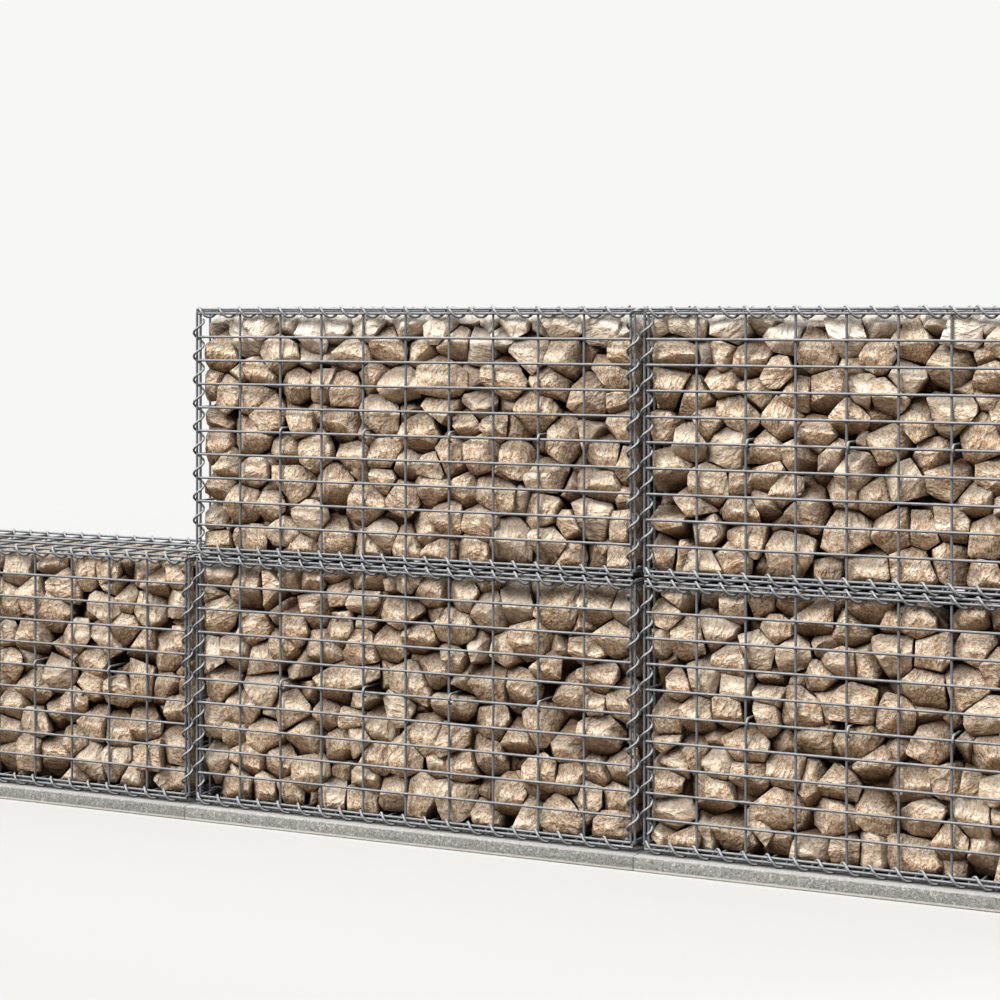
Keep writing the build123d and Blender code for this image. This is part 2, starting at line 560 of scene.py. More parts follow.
    def relief(
        self,
        sketch: NodeSketch,
        place: bpy.types.NodeSocket,
        bedding: bpy.types.NodeSocket,
        pits: bpy.types.Node,
    ) -> bpy.types.NodeSocket:
        """Adds up the surface's lumps, ledges and pits.

        Args:
            sketch: The material's sketch.
            place: The stone's own coordinates.
            bedding: The same, squeezed across the bedding.
            pits: The group node of the pits.

        Returns:
            The normal to give the shader.
        """
        lump_inputs = {"Vector": place, "Scale": 170.0, "Detail": 5.0, "Roughness": 0.65}
        lumps = sketch.add("ShaderNodeTexNoise", lump_inputs).outputs["Fac"]
        ledge_inputs = {"Vector": bedding, "Scale": 32.0, "Detail": 4.0, "Roughness": 0.55}
        ledge_inputs |= {"Offset": 0.9, "Gain": 2.0}
        ledge_node = sketch.add("ShaderNodeTexNoise", ledge_inputs, noise_type="RIDGED_MULTIFRACTAL")
        height = sketch.math("ADD", lumps, ledge_node.outputs["Fac"])
        pit_share = 0.35
        height = sketch.math("ADD", height, sketch.math("MULTIPLY", pits.outputs["Height"], pit_share))
        bump_inputs = {"Height": height, "Strength": 0.9, "Distance": 4.5 * MILLIMETRE}
        return sketch.add("ShaderNodeBump", bump_inputs).outputs["Normal"]


@dataclass(frozen=True)
class CastConcrete:
    """Grey cast concrete with its aggregate showing, paler along the foot, with painted light on top and
    painted shade under the baskets.

    Attributes:
        name: The material's name.
        matrix: The colour of the cement.
        dark_grain: The colour of the dark grains.
        pale_grain: The colour of the pale grains.
        top_height: How high the kerb is.
        half_depth: From its middle to its face.
        grit: The dark grains.
        gravel: The pale grains.
        wash: The wide patches that washing has cleaned of grains.
        lit_top_band: How far below the top the painted light starts, and where it is full.
        foot_wear: How high above the ground the wear starts, and where it is full.
        basket_shade_band: How far behind the face the painted shade under the baskets starts, and where
            it is full.
    """

    name: str
    matrix: Colour
    dark_grain: Colour
    pale_grain: Colour
    top_height: float
    half_depth: float
    grit: Patches = Patches(260.0, 0.5, 0.6, 0.7)
    gravel: Patches = Patches(190.0, 0.54, 0.62, 0.8)
    wash: Patches = Patches(9.0, 0.35, 0.7)
    lit_top_band: Range = (4 * MILLIMETRE, 1 * MILLIMETRE)
    foot_wear: Range = (7 * MILLIMETRE, 5 * MILLIMETRE)
    basket_shade_band: Range = (15 * MILLIMETRE, 25 * MILLIMETRE)

    def build(self, mottle: bpy.types.NodeTree, pitting: bpy.types.NodeTree) -> bpy.types.Material:
        """Makes the material.

        Args:
            mottle: The shared group of soft patches.
            pitting: The shared group of pits.

        Returns:
            The material.
        """
        material, sketch = new_material(self.name)
        place = sketch.add("ShaderNodeTexCoord").outputs["Object"]
        grit = self.grit.mask(sketch, mottle, place)
        wash = self.wash.mask(sketch, mottle, place)
        pits = sketch.group(pitting, {"Vector": place, "Scale": 210.0, "Width": 0.25})
        colour = sketch.layer(self.matrix, grit, self.dark_grain, share=0.75)
        colour = sketch.layer(colour, self.gravel.mask(sketch, mottle, place), self.pale_grain, share=0.8)
        colour = sketch.layer(colour, wash, self.matrix, share=0.25)
        worn, under_basket_shade = self.weathering(sketch, place)
        # Painted light: the top is painted paler, and the foot has its own pale line
        colour = sketch.blend(worn, colour, self.pale_grain)
        # Painted shade: the kerb is painted darker where the baskets stand on it
        colour = sketch.blend(under_basket_shade, colour, self.dark_grain)
        pit_share = 0.8
        height = sketch.math("ADD", grit, sketch.math("MULTIPLY", pits.outputs["Height"], pit_share))
        bump_inputs = {"Height": height, "Strength": 0.6, "Distance": 0.8 * MILLIMETRE}
        shader_inputs = {
            "Base Color": colour,
            "Roughness": sketch.spread(wash, low=0.0, high=1.0, start=0.82, end=0.94),
            "Normal": sketch.add("ShaderNodeBump", bump_inputs).outputs["Normal"],
        }
        shader = sketch.add("ShaderNodeBsdfPrincipled", shader_inputs)
        sketch.add("ShaderNodeOutputMaterial", {"Surface": shader.outputs["BSDF"]})
        return material

    def weathering(
        self, sketch: NodeSketch, place: bpy.types.NodeSocket
    ) -> tuple[bpy.types.NodeSocket, bpy.types.NodeSocket]:
        """Masks the painted light on the top, the worn foot, and the painted shade under the baskets.

        Args:
            sketch: The material's sketch.
            place: The object's coordinates.

        Returns:
            The mask of the painted light on top and the foot's wear, and the mask of the painted shade.
        """
        spot = sketch.add("ShaderNodeSeparateXYZ", {"Vector": place}).outputs
        top_start, top_full = [self.top_height - down for down in self.lit_top_band]
        foot_start, foot_full = self.foot_wear
        shade_start, shade_full = [self.half_depth - inwards for inwards in self.basket_shade_band]
        # Painted light on the top
        lit_top = sketch.spread(spot["Z"], top_start, top_full, end=0.45)
        worn_foot = sketch.spread(spot["Z"], foot_start, foot_full, end=0.95)
        from_middle = sketch.math("ABSOLUTE", spot["Y"], 0.0)
        # Painted shade under the baskets
        under_basket_shade = sketch.spread(from_middle, shade_start, shade_full, end=0.8)
        return sketch.math("ADD", lit_top, worn_foot), under_basket_shade


@dataclass(frozen=True)
class WireRow:
    """The parallel wires on one side of a welded panel.

    Attributes:
        along: The direction that the wires run in.
        gaps: How many gaps there are between them.
        outer: Whether they are on the panel's outer side.
        sink: How much each sinks into the other row's wires where they are welded.
    """

    along: Axis
    gaps: int
    outer: bool
    sink: float = 0.9 * MILLIMETRE


@dataclass
class WeldedPanel:
    """A welded panel of round wires, one row across the other.

    Attributes:
        low: The panel's lowest corner.
        high: The panel's highest corner.
        normal: The direction through the panel.
        side: The side of the basket that it closes.
        rows: Its two rows of wires.
        wire: The wire's thickness.
        sides: How many flats a wire has round it.
    """

    low: Vector
    high: Vector
    normal: Axis
    side: Side
    rows: tuple[WireRow, WireRow]
    wire: float
    sides: int = 8

    def add_to(self, shape: bmesh.types.BMesh) -> None:
        """Adds the panel's wires to a shape.

        Args:
            shape: The shape to add to.
        """
        for row in self.rows:
            across = next(axis for axis in Axis if axis not in (row.along, self.normal))
            first = self.low[across.value] + self.wire / 2
            last = self.high[across.value] - self.wire / 2
            for number in range(row.gaps + 1):
                spot = first + (last - first) * number / row.gaps
                self.add_wire(shape, row, across, spot)

    def add_wire(self, shape: bmesh.types.BMesh, row: WireRow, across: Axis, spot: float) -> None:
        """Adds one wire.

        Args:
            shape: The shape to add to.
            row: The wire's row.
            across: The direction from wire to wire.
            spot: Where the wire is in that direction.
        """
        edge = self.high if self.side is Side.HIGH else self.low
        # The outer row's centres lie half a wire inside the panel's face, and the inner row's a wire more
        inset = (0.5 if row.outer else 1.5) * self.wire
        centre = (self.low + self.high) / 2
        centre[across.value] = spot
        centre[self.normal.value] = edge[self.normal.value] - self.side.value * inset
        length = self.high[row.along.value] - self.low[row.along.value]
        radius = (self.wire + row.sink) / 2
        turn = row.along.vector.to_track_quat("Z", "Y").to_matrix().to_4x4()
        place = Matrix.Translation(centre) @ turn
        bmesh.ops.create_cone(
            shape,
            cap_ends=True,
            segments=self.sides,
            radius1=radius,
            radius2=radius,
            depth=length,
            matrix=place,
        )


@dataclass
class SpiralBinder:
    """A right-handed spiral of round wire that laces two panels together.

    Attributes:
        turns: How many turns fit along the edge.
        skip: The part of a turn that it stops short at each end.
        pitch: How far a turn goes.
        radius: From the axis to the wire's centre.
        wire: The wire's thickness.
        steps: How many straight pieces a turn has.
        sides: How many flats the wire has round it.
    """

    turns: int
    skip: float
    pitch: float = BINDER_PITCH
    radius: float = BINDER_RADIUS
    wire: float = BINDER_WIRE
    steps: int = 14
    sides: int = 6

    def template(self) -> bpy.types.Mesh:
        """Makes the spiral along Z, over +X at the start of every turn.

        Returns:
            A mesh to copy along each edge of a basket.
        """
        shape = bmesh.new()
        slope = atan2(self.pitch, 2 * pi * self.radius)
        start = Matrix.Rotation(2 * pi * self.skip, 4, "Z")
        start @= Matrix.Translation((self.radius, 0.0, self.pitch * self.skip))
        start @= Matrix.Rotation(slope - radians(90), 4, "X")
        section = bmesh.ops.create_circle(shape, segments=self.sides, radius=self.wire / 2, matrix=start)
        rim = edges_of(section["verts"])
        shown_turns = self.turns - 2 * self.skip
        steps = round(shown_turns * self.steps)
        bmesh.ops.spin(
            shape,
            geom=section["verts"] + rim,
            cent=(0.0, 0.0, 0.0),
            axis=(0.0, 0.0, 1.0),
            dvec=(0.0, 0.0, self.pitch * shown_turns / steps),
            angle=2 * pi * shown_turns,
            steps=steps,
        )
        open_edges = [edge for edge in shape.edges if edge.is_boundary]
        bmesh.ops.holes_fill(shape, edges=open_edges, sides=self.sides)
        bmesh.ops.recalc_face_normals(shape, faces=shape.faces[:])
        mesh = bpy.data.meshes.new("binder_template")
        shape.to_mesh(mesh)
        shape.free()
        return mesh


def edge_frame(origin: Vector, start_side: Vector, direction: Vector) -> Matrix:
    """A matrix that puts a spiral along an edge.

    Args:
        origin: Where its first turn starts.
        start_side: The side of the axis that the wire is on there.
        direction: The way the spiral runs.

    Returns:
        The matrix.
    """
    third = direction.cross(start_side)
    return Matrix.Translation(origin) @ Matrix((start_side, third, direction)).transposed().to_4x4()


@dataclass
class CrossTies:
    """Ties at mid height, hooked round a level wire of the front and of the back panel.

    Attributes:
        low: The lowest corner of the CAD ties.
        high: Their highest corner.
        count: How many there are.
        wire: The wire's thickness.
        sides: How many flats it has round it.
        hook_steps: How many straight pieces a hook has.
    """

    low: Vector
    high: Vector
    count: int
    wire: float = BINDER_WIRE
    sides: int = 8
    hook_steps: int = 10

    def __post_init__(self) -> None:
        """Works out the hooks' radius, their reach from the middle, and each tie's middle."""
        self.radius = (self.high.z - self.low.z - self.wire) / 2
        self.reach = (self.high.y - self.low.y - self.wire) / 2 - self.radius
        middle = (self.low + self.high) / 2
        first = self.low.x + self.wire / 2
        last = self.high.x - self.wire / 2
        spots = [first + (last - first) * number / (self.count - 1) for number in range(self.count)]
        self.middles = [Vector((spot, middle.y, middle.z)) for spot in spots]

    def room_from(self, place: Vector) -> list[tuple[Vector, float]]:
        """How far a stone may reach towards the rods and the hooks.

        Args:
            place: The stone's middle.

        Returns:
            For each rod and hook, its direction from there and the room that way.
        """
        room = []
        for middle in self.middles:
            rod = middle + Vector((0.0, 0.0, self.radius)) - place
            rod.y = 0.0
            room.append((rod.normalized(), rod.length - self.wire))
            for side in Side:
                hook = middle + Vector((0.0, side.value * self.reach, 0.0)) - place
                room.append((hook.normalized(), hook.length - self.radius - self.wire))
        return room

    def add_to(self, shape: bmesh.types.BMesh) -> None:
        """Adds all the ties to a shape.

        Args:
            shape: The shape to add to.
        """
        for middle in self.middles:
            for side in Side:
                self.add_half(shape, middle, side.value * self.reach)
        bmesh.ops.recalc_face_normals(shape, faces=shape.faces[:])

    def add_half(self, shape: bmesh.types.BMesh, middle: Vector, reach: float) -> None:
        """Adds half a tie: a hook, and the rod to the middle.

        Args:
            shape: The shape to add to.
            middle: The middle of the tie, level with the wires that it holds.
            reach: How far the hook's centre is from the middle. It is negative towards the front.
        """
        rise = Vector((0.0, 0.0, self.radius))
        start = Matrix.Translation(middle + rise) @ Matrix.Rotation(radians(90), 4, "X")
        section = bmesh.ops.create_circle(shape, segments=self.sides, radius=self.wire / 2, matrix=start)
        rim = edges_of(section["verts"])
        rod = bmesh.ops.extrude_edge_only(shape, edges=rim)["geom"]
        rod_verts = [item for item in rod if isinstance(item, bmesh.types.BMVert)]
        rod_edges = [item for item in rod if isinstance(item, bmesh.types.BMEdge)]
        rod_rim = [edge for edge in rod_edges if all(vert in rod_verts for vert in edge.verts)]
        bmesh.ops.translate(shape, verts=rod_verts, vec=(0.0, reach, 0.0))
        turn = pi if reach < 0 else -pi
        hook = bmesh.ops.spin(
            shape,
            geom=rod_verts + rod_rim,
            cent=middle + Vector((0.0, reach, 0.0)),
            axis=(1.0, 0.0, 0.0),
            angle=turn,
            steps=self.hook_steps,
        )
        tip = [item for item in hook["geom_last"] if isinstance(item, bmesh.types.BMEdge)]
        bmesh.ops.holes_fill(shape, edges=tip, sides=self.sides)


@dataclass
class Stone:
    """One broken stone of a fill.

    Attributes:
        place: Its middle.
        radius: About half its size.
        cast: Three random values that turn and tint its pattern.
    """

    place: Vector
    radius: float
    cast: tuple[float, float, float]


@dataclass(frozen=True)
class Breakage:
    """How a stone breaks and wears. Shares are of its radius, and leans of a unit normal.

    Attributes:
        block: The width of the block that it is cut from, as a share.
        side_reach: How near a side of the basket has to be to cut it, as a share.
        tie_reach: How near a tie has to be to cut it, as a share.
        neighbours: How far away the stones that cut it may be, as a share of the largest radius.
        gap: The least and most gap at a cut between two stones, in millimetres.
        tilt: How far such a cut may lean.
        filled: How much of its room it takes towards the front or back.
        step: How far a broken face at a panel stands out of its leaning plane, in millimetres.
        rise: How far the two broken faces above and below lean.
        sideways: How far the third leans to either side.
        wobble: How far each of the three leans besides.
        end_share: How much of their lean the faces at the basket's ends have.
        chips: How many more faces are knocked off it.
        chip_reach: How far from its middle they lie, as a share.
        merged: Points closer than this become one.
        arris: The width of its worn edges.
        longest: The longest edge that stays undivided, the first time round and the second.
        lump_scale: How fine the lumps of its surface are.
        dent_scale: How fine the small dents are.
        loss: How much the wear takes off everywhere, in millimetres.
        noise_step: How far apart two stones' lumps lie in the noise.
    """

    block: float = 3.2
    side_reach: float = 1.6
    tie_reach: float = 2.0
    neighbours: float = 2.2
    gap: Range = (0.2, 1.4)
    tilt: float = 0.16
    filled: Range = (0.85, 1.0)
    step: Range = (-1.0, 5.0)
    rise: Range = (0.25, 0.85)
    sideways: float = 0.8
    wobble: float = 0.2
    end_share: float = 0.4
    chips: int = 3
    chip_reach: Range = (1.05, 1.4)
    merged: float = 6 * MILLIMETRE
    arris: float = 0.9 * MILLIMETRE
    longest: Range = (34 * MILLIMETRE, 19 * MILLIMETRE)
    lump_scale: float = 45.0
    dent_scale: float = 110.0
    loss: float = 0.5
    noise_step: float = 20.0


@dataclass
class StoneFill:
    """A basket's worth of broken stone, packed close and cut to the basket's inside.

    Attributes:
        low: The lowest corner of the fill.
        high: Its highest corner.
        seed: The seed of its random draws.
        painted_sun_top: Whether the stones near its top are painted pale, as if lit by sun from above.
        ties: The cross ties that run through it.
        smallest: The smallest stone's radius.
        largest: The largest stone's radius.
        size_share: The least and most of the sizes still allowed that a throw takes.
        margin: How far inside the fill a stone's middle is, as a share of its radius.
        crowding: How close two stones' middles may be, as a share of their radii added up.
        tries: How many times a stone is thrown in.
        face_cut: How far it stops short of the front's and back's top and bottom edges.
        corner_cut: How far it stops short of the upright corners.
        end_cut: How far it stops short of the ends' top and bottom edges.
        open_depth: How far into the fill the light reaches. Stones beyond it stay plain.
        painted_sun_depth: How far down from the top the stones are painted as sunlit.
        sun_depth_share: The least and most share of that depth that the painted sun reaches at a stone.
        breakage: How the stones break and wear.
    """

    low: Vector
    high: Vector
    seed: int
    painted_sun_top: bool
    ties: CrossTies
    smallest: float = 21 * MILLIMETRE
    largest: float = 37 * MILLIMETRE
    size_share: Range = (0.6, 1.0)
    margin: float = 0.38
    crowding: float = 0.9
    tries: int = 7000
    face_cut: float = 11 * MILLIMETRE
    corner_cut: float = 15 * MILLIMETRE
    end_cut: float = 20 * MILLIMETRE
    open_depth: float = 45 * MILLIMETRE
    painted_sun_depth: float = 38 * MILLIMETRE
    sun_depth_share: Range = (0.9, 2.2)
    breakage: Breakage = Breakage()

    def stones(self, draw: random.Random) -> list[Stone]:
        """Throws stones in, the largest first, wherever there is room.

        Args:
            draw: The source of random numbers.

        Returns:
            The stones.
        """
        found: list[Stone] = []
        for attempt in range(self.tries):
            share = 1 - attempt / self.tries
            allowed = (self.largest - self.smallest) * share
            radius = self.smallest + allowed * draw.uniform(*self.size_share)
            margin = self.margin * radius
            place = Vector([draw.uniform(a + margin, b - margin) for a, b in zip(self.low, self.high)])
            if min(room for _, room in self.ties.room_from(place)) < margin:
                continue
            if all(
                (place - other.place).length > self.crowding * (radius + other.radius) for other in found
            ):
                # Painted sun: stones this near the top of an upper basket get a tone that paints them
                # pale as if sunlit
                sun_reach = self.painted_sun_depth * draw.uniform(*self.sun_depth_share)
                painted_sun = self.painted_sun_top and self.high.z - place.z < sun_reach
                tone = draw.uniform(LOWEST_PAINTED_SUN_TONE, 1.0) if painted_sun else draw.uniform(0.0, HIGHEST_PLAIN_TONE)
                found.append(Stone(place, radius, (tone, draw.random(), draw.random())))
        return found

    def bounds_near(self, stone: Stone) -> list[tuple[Vector, float]]:
        """The basket's sides that a stone is near.

        Args:
            stone: The stone.

        Returns:
            Each side's outward normal and its distance from the stone's middle.
        """
        near = []
        for axis in Axis:
            for side, corner in ((Side.LOW, self.low), (Side.HIGH, self.high)):
                distance = side.value * (corner[axis.value] - stone.place[axis.value])
                if distance < self.breakage.side_reach * stone.radius:
                    near.append((axis.vector * side.value, distance))
        return near

    def carve(self, stone: Stone, others: list[Stone], draw: random.Random) -> bmesh.types.BMesh:
        """Cuts a stone out of a block, against its neighbours and the basket.

        Args:
            stone: The stone.
            others: All the stones of the fill.
            draw: The source of random numbers.

        Returns:
            The stone's shape.
        """
        style = self.breakage
        shape = bmesh.new()
        place = Matrix.Translation(stone.place)
        bmesh.ops.create_cube(shape, size=style.block * stone.radius, matrix=place)
        reach = style.neighbours * self.largest + stone.radius
        neighbours = [other for other in others if 0 < (other.place - stone.place).length < reach]
        for other in sorted(neighbours, key=lambda item: (item.place - stone.place).length):
            between = other.place - stone.place
            distance = between.length
            share = (distance**2 + stone.radius**2 - other.radius**2) / (2 * distance)
            gap = draw.uniform(*style.gap) * MILLIMETRE
            tilted = (between / distance + self.jitter(draw, style.tilt)).normalized()
            self.trim(shape, stone.place + between / distance * (share - gap), tilted)
        for facing, room in self.ties.room_from(stone.place):
            if room < style.tie_reach * stone.radius:
                self.trim(shape, stone.place + facing * room, facing)
        near = self.bounds_near(stone)
        for normal, distance in near:
            shown = distance * draw.uniform(*style.filled) if normal.y else distance
            for tilt in self.tilts(normal, draw):
                facing = (normal + tilt).normalized()
                reach = shown * facing.dot(normal) + draw.uniform(*style.step) * MILLIMETRE
                self.trim(shape, stone.place + facing * reach, facing)
            self.trim(shape, stone.place + normal * shown, normal)
        for _ in range(style.chips):
            facing = self.jitter(draw, 1.0).normalized()
            chip = facing * stone.radius * draw.uniform(*style.chip_reach)
            self.trim(shape, stone.place + chip, facing)
        self.trim_corners(shape, near, stone)
        return shape

    def tilts(self, normal: Vector, draw: random.Random) -> list[Vector]:
        """How the broken faces of a stone lean away from the panel that it rests against.

        Args:
            normal: The panel's outward normal.
            draw: The source of random numbers.

        Returns:
            What to add to the normal for each broken face: two opposite leans and one to a side.
            A stone lies flat on the base, and leans little at the ends.
        """
        if normal.z < 0:
            return []
        style = self.breakage
        least, most = style.rise
        sideways, rise = [axis.vector for axis in Axis if not normal[axis.value]]
        leans = (
            rise * draw.uniform(least, most),
            rise * draw.uniform(-most, -least),
            sideways * draw.uniform(-style.sideways, style.sideways),
        )
        share = style.end_share if normal.x else 1.0
        return [lean * share + self.jitter(draw, style.wobble) for lean in leans]

    def trim_corners(
        self, shape: bmesh.types.BMesh, near: list[tuple[Vector, float]], stone: Stone
    ) -> None:
        """Keeps a stone clear of the binders along the basket's edges.

        Args:
            shape: The stone's shape.
            near: The sides of the basket that it is near.
            stone: The stone.
        """
        for number, (normal, distance) in enumerate(near):
            for other, other_distance in near[number + 1 :]:
                facing = (normal + other).normalized()
                if not facing.y:
                    cut = self.end_cut
                else:
                    cut = self.corner_cut if facing.x else self.face_cut
                reach = (distance + other_distance - cut) / 2**0.5
                self.trim(shape, stone.place + facing * reach, facing)

    @staticmethod
    def jitter(draw: random.Random, size: float) -> Vector:
        """A random vector with sides up to a size."""
        return Vector([draw.uniform(-size, size) for _ in range(3)])

    @staticmethod
    def trim(shape: bmesh.types.BMesh, point: Vector, normal: Vector) -> None:
        """Cuts away what lies beyond a plane, and closes the cut.

        Args:
            shape: The shape to cut.
            point: A point of the plane.
            normal: The plane's normal, towards what goes.
        """
        if all((vert.co - point).dot(normal) < SPARED for vert in shape.verts):
            return
        geometry = shape.verts[:] + shape.edges[:] + shape.faces[:]
        cut = bmesh.ops.bisect_plane(
            shape, geom=geometry, dist=ON_PLANE, plane_co=point, plane_no=normal, clear_outer=True
        )
        rim = [item for item in cut["geom_cut"] if isinstance(item, bmesh.types.BMEdge)]
        if len(rim) > 2:
            bmesh.ops.edgeloop_fill(shape, edges=rim)

    def depth(self, point: Vector) -> float:
        """How deep a point lies behind the front, the back, an end or the top."""
        inner, outer = point - self.low, self.high - point
        return min(inner.x, inner.y, *outer)

    def shows(self, edge: bmesh.types.BMEdge) -> bool:
        """Tells whether an edge lies where the light reaches."""
        return self.depth((edge.verts[0].co + edge.verts[1].co) / 2) < self.open_depth

    def wear(self, shape: bmesh.types.BMesh, stone: Stone) -> None:
        """Rounds a cut stone's edges and roughens its faces.

        Args:
            shape: The stone's shape.
            stone: The stone.
        """
        style = self.breakage
        bmesh.ops.remove_doubles(shape, verts=shape.verts[:], dist=style.merged)
        if self.depth(stone.place) < self.open_depth + stone.radius / 2:
            bmesh.ops.bevel(
                shape,
                geom=shape.edges[:],
                offset=style.arris,
                offset_type="OFFSET",
                segments=1,
                profile=0.5,
                affect="EDGES",
                clamp_overlap=True,
                material=-1,
            )
        bmesh.ops.triangulate(shape, faces=shape.faces[:])
        for longest in style.longest:
            wide = [edge for edge in shape.edges if edge.calc_length() > longest and self.shows(edge)]
            bmesh.ops.subdivide_edges(shape, edges=wide, cuts=1)
            bmesh.ops.triangulate(shape, faces=shape.faces[:])
        bmesh.ops.recalc_face_normals(shape, faces=shape.faces[:])
        shape.normal_update()
        shift = Vector(stone.cast) * style.noise_step
        for vert in shape.verts:
            lump = noise.noise(vert.co * style.lump_scale + shift)
            dent = noise.noise(vert.co * style.dent_scale + shift)
            worn = vert.co + vert.normal * (lump + dent - style.loss) * MILLIMETRE
            vert.co = [min(max(spot, low), high) for spot, low, high in zip(worn, self.low, self.high)]

    def build(self, name: str, material: bpy.types.Material, nodes: list[str]) -> bpy.types.Object:
        """Makes the whole fill as one piece.

        Args:
            name: The piece's name.
            material: The stone's finish.
            nodes: The CAD nodes that it replaces.

        Returns:
            The piece.
        """
        draw = random.Random(self.seed)
        stones = self.stones(draw)
        fill = bmesh.new()
        counts = []
        for stone in stones:
            shape = self.carve(stone, stones, draw)
            # A stone whose neighbours have cut it all away is left out
            if len(shape.faces) < 4:
                shape.free()
                counts.append(0)
                continue
            self.wear(shape, stone)
            loose = bpy.data.meshes.new("stone")
            shape.to_mesh(loose)
            counts.append(len(loose.vertices))
            shape.free()
            fill.from_mesh(loose, face_normals=False)
            bpy.data.meshes.remove(loose)
        for face in fill.faces:
            face.smooth = True
        piece = finished_piece(name, fill, material, nodes)
        self.mark_stones(piece.data, stones, counts)
        log.info("%s: %d stones", name, len(stones))
        return piece

    def mark_stones(self, mesh: bpy.types.Mesh, stones: list[Stone], counts: list[int]) -> None:
        """Writes each stone's cast, and how deep its points are, to the STONE_CAST attribute.

        Args:
            mesh: The fill's mesh.
            stones: The stones, in the order of their points.
            counts: How many points each has.
        """
        cast = mesh.attributes.new(STONE_CAST, "FLOAT_COLOR", "POINT")
        values: list[float] = []
        spots = iter(mesh.vertices)
        for stone, count in zip(stones, counts):
            for _ in range(count):
                depth = self.depth(next(spots).co) / self.open_depth
                values.extend((*stone.cast, min(max(depth, 0.0), 1.0)))
        cast.data.foreach_set("color", values)


@dataclass(frozen=True)
class Finishes:
    """The wall's materials.

    Attributes:
        mesh_wire: The welded panels' wire.
        binder_wire: The spirals' and ties' wire.
        stone: The fill.
        concrete: The kerb.
    """

    mesh_wire: bpy.types.Material
    binder_wire: bpy.types.Material
    stone: bpy.types.Material
    concrete: bpy.types.Material


